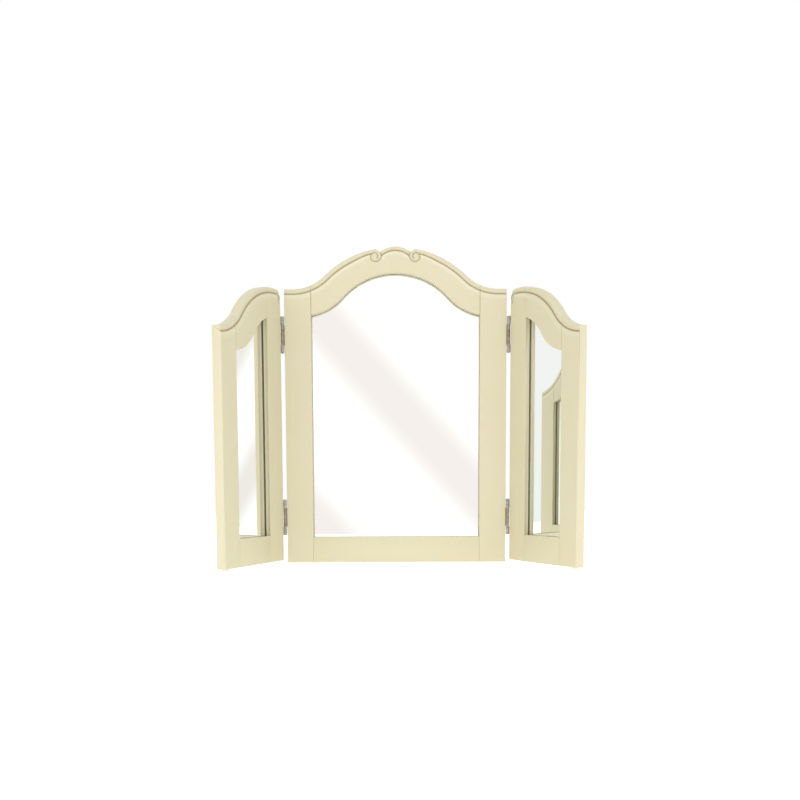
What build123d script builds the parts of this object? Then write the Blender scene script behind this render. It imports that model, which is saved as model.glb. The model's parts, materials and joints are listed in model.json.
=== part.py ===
"""Three-panel folding dressing-table mirror: a centre panel with two hinged wings.

Frame: X to the right, Y away from the viewer, Z up, millimetres. The origin is the centre of
the centre panel's underside. The wings stand folded forward at their rest angles.
"""
from build123d import *
from dataclasses import dataclass
from math import sqrt
import os

# ---- Overall sizes ----
centre_width = 400.0
wing_width = 186.0
frame_thickness = 16.0
wing_ground_clearance = 4.5
left_fold = 69.8          # degrees that each wing is folded forward at rest
right_fold = 64.6

# ---- Frame members ----
centre_stile_width = 48.0
wing_inner_stile_width = 46.0
wing_outer_stile_width = 42.5
rail_height = 46.8
bead_width = 9.6          # moulded bead along the top edge
bead_step = 1.4           # depth of the step between the face and the bead
bead_radius = 5.0
wing_corner_radius = 8.0

# ---- Glass, backing and their rebates ----
lip_depth = 8.4           # wood in front of the glass
glass_thickness = 4.0
glass_rebate = 8.0        # how far the glass reaches past the sight edge
board_thickness = 3.2
board_rebate = 18.0       # how far the back board reaches past the sight edge
edge_clearance = 0.8      # between a pane or board and its rebate's wall

# ---- Joinery ----
dowel_radius = 3.0
dowel_length = 24.0
dowel_margin = 2.0        # wood between a dowel and the nearest rebate or edge
hole_clearance = 0.05
screw_shank_radius = 1.4
screw_head_radius = 2.7
screw_head_height = 1.3
board_screw_length = 8.5
board_screw_inset = 5.0   # from the back board's edge to the screw's axis
board_screw_rows = 4
hinge_screw_length = 13.0

# ---- Hinges ----
hinge_edge_clearance = 0.3  # between a knuckle and each panel's edge
hinge_axis_proud = 1.8    # the pin's axis stands this far in front of the faces
hinge_length = 63.5
hinge_middle_length = 34.0
hinge_leaf_width = 13.0
hinge_leaf_thickness = 1.3
hinge_leaf_bridge = 4.5   # strip that joins the wing leaf's two arms
hinge_slot_clearance = 0.4
knuckle_radius = 3.0
knuckle_gap = 0.3         # endplay between knuckles
pin_radius = 1.4
pin_clearance = 0.06
pin_head_radius = 2.2
pin_head_height = 0.9
hinge_heights = {"lower": 83.0, "upper": 410.5}

# ---- Glides under the wings ----
glide_radius = 5.0
glide_edge_radius = 1.0
glide_nail_radius = 1.2
glide_nail_length = 12.0
glide_inset = 12.0        # from the wing's outer edge

# ---- Places worked out from the sizes ----
front_y = -frame_thickness / 2
back_y = frame_thickness / 2
glass_front_y = front_y + lip_depth
glass_back_y = glass_front_y + glass_thickness
board_back_y = glass_back_y + board_thickness
centre_edge_x = centre_width / 2
hinge_gap = 2 * (knuckle_radius + hinge_edge_clearance)
hinge_x = centre_edge_x + hinge_gap / 2
hinge_y = front_y - hinge_axis_proud
wing_edge_x = centre_edge_x + hinge_gap


@dataclass
class Ogee:
    """A top edge: a convex arc about a vertical axis that runs into a concave one.

    origin_x is the axis of the convex arc and crown_z its height there; the concave arc is
    lowest at foot_x from that axis, at foot_z, and past it the edge runs level.
    """
    origin_x: float
    crown_z: float
    crown_radius: float
    foot_x: float
    foot_z: float

    @property
    def reach(self):
        """The two radii together, from the condition that the arcs are tangent."""
        drop = self.crown_z - self.foot_z
        return (self.foot_x**2 + drop**2) / (2 * drop)

    def turn_x(self, inset=0.0):
        """Distance from the axis at which the curve, moved inwards, changes its bend."""
        return self.foot_x * (self.crown_radius - inset) / self.reach

    def height(self, x, inset=0.0):
        """Height of the curve at x, moved inwards by inset."""
        distance = abs(x - self.origin_x)
        if distance <= self.turn_x(inset):
            radius = self.crown_radius - inset
            return self.crown_z - self.crown_radius + sqrt(radius**2 - distance**2)
        if distance < self.foot_x:
            foot_radius = self.reach - self.crown_radius
            rise = sqrt((foot_radius + inset)**2 - (self.foot_x - distance)**2)
            return self.foot_z + foot_radius - rise
        return self.foot_z - inset

    def breaks(self, x_from, x_to, inset):
        """The x values between two ends where one arc gives way to the next."""
        turns = (self.turn_x(inset), self.foot_x)
        marks = [self.origin_x + sign * turn for turn in turns for sign in (-1, 1)]
        return [x_from] + sorted(x for x in marks if x_from < x < x_to) + [x_to]


centre_top = Ogee(0.0, 567.2, 186.0, 185.0, 493.0)
centre_arch = Ogee(0.0, 520.3, 128.0, 170.0, 445.0)
wing_top = Ogee(wing_edge_x, 489.0, 163.0, 205.0, 384.0)
wing_arch = Ogee(wing_edge_x, 440.0, 109.0, 165.0, 352.0)


@dataclass
class Panel:
    """The outline and the sight opening of one framed panel, in the flat pose."""
    name: str
    x_min: float
    x_max: float
    z_min: float
    left_stile: float
    right_stile: float
    top: Ogee
    arch: Ogee

    @property
    def joints_x(self):
        """The x of the two lines where the rails meet the stiles."""
        return self.x_min + self.left_stile, self.x_max - self.right_stile

    @property
    def rail_top(self):
        return self.z_min + rail_height


centre = Panel("centre", -centre_edge_x, centre_edge_x, 0.0, centre_stile_width,
               centre_stile_width, centre_top, centre_arch)
wing = Panel("wing", wing_edge_x, wing_edge_x + wing_width, wing_ground_clearance,
             wing_inner_stile_width, wing_outer_stile_width, wing_top, wing_arch)


def section_plane(y):
    """An upright plane at depth y, seen from the front, that extrudes towards the viewer."""
    return Plane(origin=(0, y, 0), x_dir=(1, 0, 0), z_dir=(0, -1, 0))


def under_curve(y, curve, x_from, x_to, z_bottom, inset=0.0):
    """The region between a level line and an ogee, as a sketch on the upright plane at y."""
    marks = curve.breaks(x_from, x_to, inset)
    with BuildSketch(section_plane(y)) as region:
        with BuildLine():
            Polyline(
                (x_from, curve.height(x_from, inset)),
                (x_from, z_bottom),
                (x_to, z_bottom),
                (x_to, curve.height(x_to, inset)),
            )
            for low, high in zip(marks, marks[1:]):
                points = [(x, curve.height(x, inset)) for x in (low, (low + high) / 2, high)]
                if max(z for _, z in points) - min(z for _, z in points) < 1e-6:
                    Line(points[0], points[2])
                else:
                    ThreePointArc(*points)
        make_face()
    return region.sketch


def pane(panel, reach, y_back, thickness):
    """A sheet with the sight opening's shape, grown by reach on every side."""
    x_left, x_right = panel.joints_x
    outline = under_curve(y_back, panel.arch, x_left - reach, x_right + reach,
                          panel.rail_top - reach, -reach)
    with BuildPart() as sheet:
        extrude(outline, amount=thickness)
    return sheet.part


def opening_cutter(panel):
    """Everything that the sight opening and its two rebates take out of the frame."""
    reaches = ((0.0, frame_thickness), (glass_rebate, back_y - glass_front_y),
               (board_rebate, back_y - glass_back_y))
    with BuildPart() as cutter:
        for reach, depth in reaches:
            add(pane(panel, reach, back_y, depth))
    return cutter.part


def dowel_places(panel):
    """Centres of the dowels: two at each end of each rail."""
    places = []
    clear = dowel_margin + dowel_radius
    reach = dowel_length / 2
    for x in panel.joints_x:
        ends = (x - reach, x, x + reach)
        top_low = max(panel.arch.height(end, -glass_rebate) for end in ends) + clear
        top_high = min(panel.top.height(end, bead_width) for end in ends) - clear
        low = panel.z_min + clear
        high = panel.rail_top - glass_rebate - clear
        places += [(x, 0.0, z) for z in (low, high, top_low, top_high)]
    return places


def cylinders_along(axis, places, radius, length):
    """Equal cylinders centred on places, with their length along X or Y."""
    turn = (0, 90, 0) if axis == "x" else (90, 0, 0)
    with BuildPart() as group:
        with Locations(*places):
            Cylinder(radius, length, rotation=turn)
    return group.part


def dowels(panel):
    return cylinders_along("x", dowel_places(panel), dowel_radius, dowel_length)


def board_screw_places(panel):
    """Screw axes around the back board, on the wood beside the glass."""
    x_left, x_right = panel.joints_x
    inset = board_rebate - edge_clearance - board_screw_inset
    z_low = panel.rail_top + board_screw_inset
    places = []
    for x, corner in ((x_left - inset, x_left), (x_right + inset, x_right)):
        z_high = panel.arch.height(corner) - board_screw_inset
        step = (z_high - z_low) / (board_screw_rows - 1)
        places += [(x, z_low + step * row) for row in range(board_screw_rows)]
    middle = (x_left + x_right) / 2
    places += [(middle, panel.rail_top - inset), (middle, panel.arch.height(middle, -inset))]
    return places


def countersunk_screw(length):
    """One screw along Z: its head's face at z = 0 and its point below."""
    with BuildPart() as screw:
        with BuildSketch(Plane.XZ):
            with BuildLine():
                Polyline(
                    (0, 0),
                    (screw_head_radius, 0),
                    (screw_shank_radius, -screw_head_height),
                    (screw_shank_radius, -length + 2 * screw_shank_radius),
                    (0, -length),
                    close=True,
                )
            make_face()
        revolve(axis=Axis.Z)
    return screw.part


def screw_hole(length):
    """The cutter for one countersunk screw, a clearance larger all round."""
    with BuildPart() as hole:
        with BuildSketch(Plane.XZ):
            with BuildLine():
                Polyline(
                    (0, hole_clearance),
                    (screw_head_radius + 2 * hole_clearance, hole_clearance),
                    (screw_shank_radius + hole_clearance, -screw_head_height),
                    (screw_shank_radius + hole_clearance, -length - hole_clearance),
                    (0, -length - hole_clearance),
                    close=True,
                )
            make_face()
        revolve(axis=Axis.Z)
    return hole.part


def repeated(shape, planes):
    """Copies of a shape, one on each plane, as one group of separate solids."""
    with BuildPart() as group:
        for plane in planes:
            add(plane.location * shape)
    return group.part


def board_screw_planes(panel):
    return [Plane(origin=(x, board_back_y, z), x_dir=(1, 0, 0), z_dir=(0, 1, 0))
            for x, z in board_screw_places(panel)]


def back_board(panel):
    """The board behind the glass, with its screws' countersunk holes."""
    with BuildPart() as board:
        add(pane(panel, board_rebate - edge_clearance, board_back_y, board_thickness))
        add(repeated(screw_hole(board_screw_length), board_screw_planes(panel)), mode=Mode.SUBTRACT)
    return board.part


def hinge_screw_planes(edge_x, facing, z, arms):
    """Screw planes on a panel's edge. facing is +1 when that edge looks along +X."""
    face_x = edge_x + facing * hinge_leaf_thickness
    y = front_y + hinge_leaf_width * 0.5
    if arms:
        reach = (hinge_length + hinge_middle_length) / 4
    else:
        reach = hinge_middle_length / 4
    return [Plane(origin=(face_x, y, z + side * reach), x_dir=(0, 1, 0), z_dir=(facing, 0, 0))
            for side in (-1, 1)]


def edge_screw_holes(edge_x, facing, arms):
    planes = []
    for z in hinge_heights.values():
        planes += hinge_screw_planes(edge_x, facing, z, arms)
    return repeated(screw_hole(hinge_screw_length), planes)


def is_bead_edge(edge, curve):
    """True for an edge that runs along the top outline at the bottom of the bead's step."""
    point = edge.position_at(0.5)
    on_step = abs(point.Y - (front_y + bead_step)) < 1e-3
    return on_step and abs(point.Z - curve.height(point.X)) < 1e-2


def upper_member(panel, x_from, x_to, z_bottom, corner_x=None):
    """A stile or top rail: the panel's outline between two x values, with its moulded bead."""
    outline = under_curve(back_y, panel.top, x_from, x_to, z_bottom)
    face = under_curve(front_y + bead_step, panel.top, x_from, x_to, z_bottom, bead_width)
    with BuildPart() as member:
        extrude(outline, amount=frame_thickness - bead_step)
        extrude(face, amount=bead_step)
        if corner_x is None:
            fillet([e for e in member.edges() if is_bead_edge(e, panel.top)], bead_radius)
        else:
            corner = member.edges().filter_by(Axis.Y).sort_by(Axis.Z)[-2:]
            corner = [e for e in corner if abs(e.center().X - corner_x) < 1e-3]
            fillet(corner, wing_corner_radius)
        add(opening_cutter(panel), mode=Mode.SUBTRACT)
        holes = cylinders_along("x", dowel_places(panel), dowel_radius + hole_clearance,
                                dowel_length + 2 * hole_clearance)
        add(holes, mode=Mode.SUBTRACT)
        add(repeated(screw_hole(board_screw_length), board_screw_planes(panel)), mode=Mode.SUBTRACT)
    return member


def bottom_rail(panel):
    x_left, x_right = panel.joints_x
    with BuildPart() as rail:
        with BuildSketch(section_plane(back_y)):
            with Locations(((x_left + x_right) / 2, panel.z_min + rail_height / 2)):
                Rectangle(x_right - x_left, rail_height)
        extrude(amount=frame_thickness)
        add(opening_cutter(panel), mode=Mode.SUBTRACT)
        holes = cylinders_along("x", dowel_places(panel), dowel_radius + hole_clearance,
                                dowel_length + 2 * hole_clearance)
        add(holes, mode=Mode.SUBTRACT)
        add(repeated(screw_hole(board_screw_length), board_screw_planes(panel)), mode=Mode.SUBTRACT)
    return rail.part


def stile(panel, x_from, x_to, screw_edge=None, facing=1, arms=False, corner_x=None):
    """A stile, drilled for hinge screws where a hinged edge is given."""
    member = upper_member(panel, x_from, x_to, panel.z_min, corner_x)
    with BuildPart() as drilled:
        add(member.part)
        if screw_edge is not None:
            add(edge_screw_holes(screw_edge, facing, arms), mode=Mode.SUBTRACT)
    return drilled.part


def top_rail(panel):
    x_left, x_right = panel.joints_x
    z_bottom = min(panel.arch.height(x_left), panel.arch.height(x_right)) - board_rebate
    return upper_member(panel, x_left, x_right, z_bottom).part


def glide_x():
    return wing.x_max - glide_inset


def glide():
    """A nail-on glide: a round pad on the table and a nail up into the stile."""
    with BuildPart() as pad:
        with BuildSketch(Plane.XY):
            with Locations((glide_x(), 0)):
                Circle(glide_radius)
        extrude(amount=wing_ground_clearance)
        fillet(pad.edges().group_by(Axis.Z)[0], glide_edge_radius)
        with BuildSketch(Plane.XY.offset(wing_ground_clearance)):
            with Locations((glide_x(), 0)):
                Circle(glide_nail_radius)
        extrude(amount=glide_nail_length)
    return pad.part


def outer_stile():
    """The wing's outer stile, with the blind hole for its glide's nail."""
    with BuildPart() as member:
        add(stile(wing, wing.joints_x[1], wing.x_max))
        with BuildSketch(Plane.XY.offset(wing_ground_clearance)):
            with Locations((glide_x(), 0)):
                Circle(glide_nail_radius + hole_clearance)
        extrude(amount=glide_nail_length + hole_clearance, mode=Mode.SUBTRACT)
    return member.part


def knuckle(z_low, z_high):
    """One knuckle of a hinge, bored for the pin."""
    with BuildPart() as barrel:
        with BuildSketch(Plane.XY.offset(z_low)):
            with Locations((hinge_x, hinge_y)):
                Circle(knuckle_radius)
                Circle(pin_radius + pin_clearance, mode=Mode.SUBTRACT)
        extrude(amount=z_high - z_low)
    return barrel.part


def leaf_plate(edge_x, facing, z_low, z_high):
    """A flat leaf on a panel's edge, reaching forward to the side of the barrel."""
    y_back = front_y + hinge_leaf_width
    with BuildPart() as plate:
        with BuildSketch(Plane.XY.offset(z_low)):
            with Locations((edge_x + facing * hinge_leaf_thickness / 2, (hinge_y + y_back) / 2)):
                Rectangle(hinge_leaf_thickness, y_back - hinge_y)
        extrude(amount=z_high - z_low)
    return plate.part


def centre_leaf(z):
    """The leaf with the middle knuckle, fixed to the centre panel's edge."""
    half = hinge_middle_length / 2
    with BuildPart() as leaf:
        add(leaf_plate(centre_edge_x, 1, z - half, z + half))
        add(knuckle(z - half, z + half))
        planes = hinge_screw_planes(centre_edge_x, 1, z, False)
        add(repeated(screw_hole(hinge_screw_length), planes), mode=Mode.SUBTRACT)
    return leaf.part


def wing_leaf(z):
    """The leaf with the two end knuckles, cut out so that the centre leaf nests in it."""
    half = hinge_length / 2
    slot_half = hinge_middle_length / 2 + hinge_slot_clearance
    slot_depth = hinge_leaf_width - hinge_leaf_bridge
    with BuildPart() as leaf:
        add(leaf_plate(wing_edge_x, -1, z - half, z + half))
        with BuildSketch(Plane.XY.offset(z - slot_half)):
            with Locations((wing_edge_x, hinge_y)):
                Rectangle(2 * hinge_gap, 2 * (slot_depth + hinge_axis_proud))
        extrude(amount=2 * slot_half, mode=Mode.SUBTRACT)
        middle_half = hinge_middle_length / 2 + knuckle_gap
        add(knuckle(z - half, z - middle_half))
        add(knuckle(z + middle_half, z + half))
        planes = hinge_screw_planes(wing_edge_x, -1, z, True)
        add(repeated(screw_hole(hinge_screw_length), planes), mode=Mode.SUBTRACT)
    return leaf.part


def hinge_pin(z):
    """The pin through all the knuckles, with a low head above and below."""
    half = hinge_length / 2
    with BuildPart() as pin:
        with BuildSketch(Plane.XY.offset(z - half - pin_head_height)):
            with Locations((hinge_x, hinge_y)):
                Circle(pin_head_radius)
        extrude(amount=pin_head_height)
        with BuildSketch(Plane.XY.offset(z - half)):
            with Locations((hinge_x, hinge_y)):
                Circle(pin_radius)
        extrude(amount=hinge_length)
        with BuildSketch(Plane.XY.offset(z + half)):
            with Locations((hinge_x, hinge_y)):
                Circle(pin_head_radius)
        extrude(amount=pin_head_height)
    return pin.part


def on_side(shape, side, folded):
    """Takes a piece made for the right wing in the flat pose to its side and rest angle."""
    if side == "left":
        shape = mirror(shape, about=Plane.YZ)
    if not folded:
        return shape
    sign = 1 if side == "left" else -1
    angle = left_fold if side == "left" else right_fold
    return shape.rotate(Axis((-sign * hinge_x, hinge_y, 0), (0, 0, 1)), sign * angle)


def write(name, shape):
    shape.label = name
    export_step(shape, f"parts/{name}.step")


def write_sheets(panel, side):
    """Glass, back board, dowels and board screws of the centre panel or of one wing."""
    glass_reach = glass_rebate - edge_clearance
    pieces = {
        "mirror": pane(panel, glass_reach, glass_back_y, glass_thickness),
        "back_board": back_board(panel),
        "dowels": dowels(panel),
        "board_screws": repeated(countersunk_screw(board_screw_length), board_screw_planes(panel)),
    }
    for name, shape in pieces.items():
        write(f"{side}_{name}", on_side(shape, side, side != "centre"))


def write_centre_panel():
    right = stile(centre, centre.joints_x[1], centre.x_max, centre_edge_x, 1, False)
    write("centre_right_stile", right)
    write("centre_left_stile", mirror(right, about=Plane.YZ))
    write("centre_top_rail", top_rail(centre))
    write("centre_bottom_rail", bottom_rail(centre))
    write_sheets(centre, "centre")


def write_wings():
    inner_x, outer_x = wing.joints_x
    inner = stile(wing, wing.x_min, inner_x, wing_edge_x, -1, True, wing.x_min)
    pieces = {"inner_stile": inner, "outer_stile": outer_stile(), "top_rail": top_rail(wing),
              "bottom_rail": bottom_rail(wing), "glide": glide()}
    for side in ("left", "right"):
        for name, shape in pieces.items():
            write(f"{side}_{name}", on_side(shape, side, True))
        write_sheets(wing, side)


def write_hinges():
    for level, z in hinge_heights.items():
        centre_planes = hinge_screw_planes(centre_edge_x, 1, z, False)
        wing_planes = hinge_screw_planes(wing_edge_x, -1, z, True)
        screw = countersunk_screw(hinge_screw_length)
        pieces = {
            "centre_leaf": (centre_leaf(z), False),
            "centre_screws": (repeated(screw, centre_planes), False),
            "wing_leaf": (wing_leaf(z), True),
            "wing_screws": (repeated(screw, wing_planes), True),
            "pin": (hinge_pin(z), True),
        }
        for side in ("left", "right"):
            for name, (shape, folded) in pieces.items():
                write(f"{side}_{level}_hinge_{name}", on_side(shape, side, folded))


os.makedirs("parts", exist_ok=True)
write_centre_panel()
write_wings()
write_hinges()
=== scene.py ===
# %% [markdown]
# # A folding triple mirror
# The CAD model fixes every size and place. This script gives that frame its looks: painted
# wood with a moulded and carved top edge, silvered glass, plated hinges and back boards.
# The script loads the CAD bodies from model.glb, and every piece made here rides on one of them.

# %% Load the frame
import json
import math
from dataclasses import dataclass

import bmesh
import bpy
import numpy as np
from mathutils import Matrix, Vector


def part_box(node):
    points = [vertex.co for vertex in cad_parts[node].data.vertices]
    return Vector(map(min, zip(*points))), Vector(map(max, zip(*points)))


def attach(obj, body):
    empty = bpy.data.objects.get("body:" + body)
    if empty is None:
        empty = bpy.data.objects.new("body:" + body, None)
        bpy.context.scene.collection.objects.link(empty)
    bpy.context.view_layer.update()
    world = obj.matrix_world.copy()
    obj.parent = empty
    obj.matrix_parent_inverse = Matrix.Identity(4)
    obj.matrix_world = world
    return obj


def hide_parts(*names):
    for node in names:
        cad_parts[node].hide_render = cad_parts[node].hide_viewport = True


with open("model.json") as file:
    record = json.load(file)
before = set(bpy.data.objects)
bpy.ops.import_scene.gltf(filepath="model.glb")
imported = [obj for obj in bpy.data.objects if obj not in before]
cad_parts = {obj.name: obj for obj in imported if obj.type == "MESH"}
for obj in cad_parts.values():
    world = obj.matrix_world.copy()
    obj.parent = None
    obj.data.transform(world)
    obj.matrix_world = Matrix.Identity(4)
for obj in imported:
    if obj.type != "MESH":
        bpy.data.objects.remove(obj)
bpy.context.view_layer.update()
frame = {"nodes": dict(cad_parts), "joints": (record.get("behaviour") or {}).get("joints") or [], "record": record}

# %% [markdown]
# ## Sizes
# Lengths are in metres. What the frame can say is read from it: a node's box gives the
# centre's width and thickness and a rail's height. The wings' widths, their folds at rest,
# the glass, the board and their rebates are repeated from the CAD script.

# %% Sizes read from the frame or repeated from the CAD
MM = 0.001
stile_low, stile_high = (Vector(corner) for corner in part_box("centre_right_stile"))
front_y, back_y = stile_low.y, stile_high.y
centre_half = stile_high.x
opening_half = stile_low.x
rail_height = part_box("centre_bottom_rail")[1][2]

pivots = {joint["child"]: Vector(joint["pos_m"]) for joint in frame["joints"]}
rest_fold = {"left_wing": 69.8, "right_wing": 64.6}
wing_edge = 2 * abs(pivots["right_wing"].x) - centre_half
wing_width = 186 * MM
wing_inner_stile = 46 * MM
wing_outer_stile = 42.5 * MM
wing_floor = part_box("right_bottom_rail")[0][2]
glass_front = front_y + 8.4 * MM
glass_back = glass_front + 4.0 * MM
board_back = glass_back + 3.2 * MM
glass_rebate = 8.0 * MM
board_rebate = 18.0 * MM
print(f"centre panel {2 * centre_half:.3f} m wide, wing edge at {wing_edge:.4f} m")


# %% [markdown]
# ## The ogee line
# A top edge rises to a crown on one arc and settles on a hollow one. Two circles that touch
# share their line of centres, so one drop and one run fix where the bend changes sides.
# `inset` moves the line inwards, as a moulding or a rebate that runs beside it needs. The
# panels' top edges and their openings are four such lines, with the CAD script's numbers.

# %% The ogee line as a small class
@dataclass
class Ogee:
    """A convex arc about a vertical axis that runs into a concave one; level past its foot."""
    origin: float
    crown: float
    crown_radius: float
    foot_run: float
    foot: float

    @property
    def reach(self):
        drop = self.crown - self.foot
        return (self.foot_run**2 + drop**2) / (2 * drop)

    def height(self, x, inset=0.0):
        run = np.abs(np.asarray(x, float) - self.origin)
        turn = self.foot_run * (self.crown_radius - inset) / self.reach
        top = (self.crown_radius - inset) ** 2 - run**2
        crown = self.crown - self.crown_radius + np.sqrt(np.maximum(top, 0))
        low_radius = self.reach - self.crown_radius
        left = np.maximum(self.foot_run - run, 0)
        low = (low_radius + inset) ** 2 - left**2
        hollow = self.foot + low_radius - np.sqrt(np.maximum(low, 0))
        return np.where(run <= turn, crown, hollow)


centre_top = Ogee(0.0, 567.2 * MM, 186 * MM, 185 * MM, 493 * MM)
centre_arch = Ogee(0.0, 520.3 * MM, 128 * MM, 170 * MM, 445 * MM)
wing_top = Ogee(wing_edge, 489 * MM, 163 * MM, 205 * MM, 384 * MM)
wing_arch = Ogee(wing_edge, 440 * MM, 109 * MM, 165 * MM, 352 * MM)
print("crown", float(centre_top.height(0)), "wing crown", float(wing_top.height(wing_edge)))


# %% [markdown]
# ## Shader maths as plain expressions
# A node tree is easier to read as arithmetic. `Signal` wraps one socket, so that
# `1 - mask * 0.3` adds the Math nodes by itself, and `node` adds any other kind.

# %% The socket class and the material builder
class Signal:
    """One node socket that can be used in arithmetic."""

    def __init__(self, shader, socket):
        self.shader = shader
        self.socket = socket

    def _math(self, operation, first, second=None):
        return self.shader.node("ShaderNodeMath", {"operation": operation}, [first, second])

    def __add__(self, other):
        return self._math("ADD", self, other)

    def __radd__(self, other):
        return self._math("ADD", other, self)

    def __sub__(self, other):
        return self._math("SUBTRACT", self, other)

    def __rsub__(self, other):
        return self._math("SUBTRACT", other, self)

    def __mul__(self, other):
        return self._math("MULTIPLY", self, other)

    def __rmul__(self, other):
        return self._math("MULTIPLY", other, self)

    def __truediv__(self, other):
        return self._math("DIVIDE", self, other)

    def clamp(self):
        return self._math("MINIMUM", self._math("MAXIMUM", self, 0.0), 1.0)


class Shader:
    """A material's node tree with a Principled surface."""

    def __init__(self, name, **fixed):
        self.material = bpy.data.materials.new(name)
        self.material.use_nodes = True
        self.tree = self.material.node_tree
        self.surface = self.tree.nodes["Principled BSDF"]
        for key, value in fixed.items():
            self.surface.inputs[key.replace("_", " ").title()].default_value = value

    def node(self, kind, settings=None, inputs=(), output=0):
        made = self.tree.nodes.new(kind)
        for key, value in (settings or {}).items():
            if key == "stops":
                ramp = made.color_ramp.elements
                while len(ramp) < len(value):
                    ramp.new(0.5)
                for element, (place, shade) in zip(ramp, value):
                    element.position = place
                    element.color = shade
            else:
                setattr(made, key, value)
        named = inputs.items() if isinstance(inputs, dict) else enumerate(inputs)
        for key, value in named:
            if isinstance(value, Signal):
                self.tree.links.new(value.socket, made.inputs[key])
            elif value is not None:
                made.inputs[key].default_value = value
        return Signal(self, made.outputs[output])

    def place(self, scale=(1, 1, 1), turn=(0, 0, 0)):
        """Object coordinates, scaled and turned about the object's origin."""
        coordinate = self.node("ShaderNodeTexCoord", output="Object")
        return self.node("ShaderNodeMapping", {}, {"Vector": coordinate, "Scale": scale,
                                                   "Rotation": turn})

    def noise(self, where, scale, detail=3.0, rough=0.55):
        return self.node("ShaderNodeTexNoise", {}, {"Vector": where, "Scale": scale,
                                                    "Detail": detail, "Roughness": rough})

    def ramp(self, value, stops):
        return self.node("ShaderNodeValToRGB", {"stops": stops}, {"Fac": value})

    def blend(self, factor, first, second):
        return self.node("ShaderNodeMix", {"data_type": "RGBA"},
                         {"Factor": factor, 6: first, 7: second}, output=2)

    def feed(self, socket, value):
        self.tree.links.new(value.socket, self.surface.inputs[socket])

    def bump(self, height, strength, distance):
        normal = self.node("ShaderNodeBump", {}, {"Height": height, "Strength": strength,
                                                  "Distance": distance})
        self.feed("Normal", normal)


def grey(value):
    return (value, value, value, 1.0)


# %% [markdown]
# ## Painted wood
# The frame is sprayed in a satin cream. Close up, the film shows a faint drag along the
# grain, an orange-peel texture and slightly warmer, thinner paint here and there. The drag
# runs along each member, so stiles and rails get their own copy of the finish.

# %% Cream paint, one copy for upright members and one for level ones
CREAM = (0.630, 0.590, 0.414, 1.0)
CREAM_WARM = (0.594, 0.545, 0.360, 1.0)
# Painted shade for the quirks, grooves and joints, and a painted highlight for the strip below each quirk.
PAINTED_SHADE_TONE = (0.360, 0.300, 0.175, 1.0)
PAINTED_HIGHLIGHT_TONE = (0.770, 0.725, 0.580, 1.0)


def cream_paint(name, grain):
    """Satin cream paint with its drag along the long side that `grain` leaves unstretched."""
    paint = Shader(name, roughness=0.42, coat_weight=0.12, coat_roughness=0.3)
    fibres = paint.noise(paint.place(grain), 1.0, 4.0)
    peel = paint.noise(paint.place(), 420.0, 2.0)
    cloud = paint.noise(paint.place(), 9.0, 3.0)
    speck = paint.noise(paint.place(), 95.0, 5.0, 0.7)
    # This attribute holds painted light: above zero it is painted shade in quirks, grooves and joints, and below
    # zero it is a painted highlight under the quirk.
    crevice = paint.node("ShaderNodeAttribute", {"attribute_name": "crevice"}, output="Fac")
    tone = (cloud * 0.9 + fibres * 0.35 + speck * 0.2 - 0.32).clamp()
    film = paint.blend(tone * 0.75, CREAM, CREAM_WARM)
    painted_shade_share = (crevice * (0.55 + speck * 0.3)).clamp()
    painted_highlight = (crevice * -1.0).clamp()
    film = paint.blend(painted_highlight, film, PAINTED_HIGHLIGHT_TONE)
    paint.feed("Base Color", paint.blend(painted_shade_share, film, PAINTED_SHADE_TONE))
    paint.feed("Roughness", 0.36 + speck * 0.12 + fibres * 0.06)
    paint.bump(fibres * 0.6 + peel * 0.4, 0.22, 0.0004)
    return paint.material


paint_upright = cream_paint("cream_paint_upright", (260, 260, 9))
paint_level = cream_paint("cream_paint_level", (9, 9, 260))
print("paints:", paint_upright.name, paint_level.name)


# %% [markdown]
# ## Silvered glass
# A mirror is glass with silver behind it. The reflection is made by the silver, seen through
# a slightly green pane, so the surface is metal with a faint tint and next to no blur. Very
# faint smears keep it from being perfect.

# %% Mirror
def mirror_silver():
    silver = Shader("mirror_silver", metallic=1.0, roughness=0.01)
    smear = silver.noise(silver.place((3, 3, 11)), 1.6, 4.0)
    silver.feed("Base Color", silver.blend(smear, (0.93, 0.945, 0.925, 1), (0.94, 0.952, 0.935, 1)))
    silver.feed("Roughness", 0.006 + smear * 0.012)
    return silver.material


# %% [markdown]
# ## Metal, board, beech and nylon
# The small parts are seen close up only from behind or at a hinge. Each gets the one mark
# that tells what it is: dull patches on plated steel, flecks in pressed fibre board, rays in
# a beech dowel and scuffs on a nylon glide.

# %% Plated steel, zinc, hardboard, beech and nylon
def plated_steel(name, light, dark, rough):
    """Plated steel, dulled in patches and finely brushed along the hinge."""
    steel = Shader(name, metallic=1.0, roughness=rough)
    brushed = steel.noise(steel.place((1500, 1500, 60)), 1.0, 3.0)
    patch = steel.noise(steel.place(), 260.0, 4.0, 0.6)
    dull = steel.ramp(patch, [(0.42, grey(0)), (0.66, grey(1))])
    steel.feed("Base Color", steel.blend(dull, light, dark))
    steel.feed("Roughness", rough - 0.08 + brushed * 0.1 + patch * 0.12)
    steel.bump(brushed, 0.25, 0.0001)
    return steel.material


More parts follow.
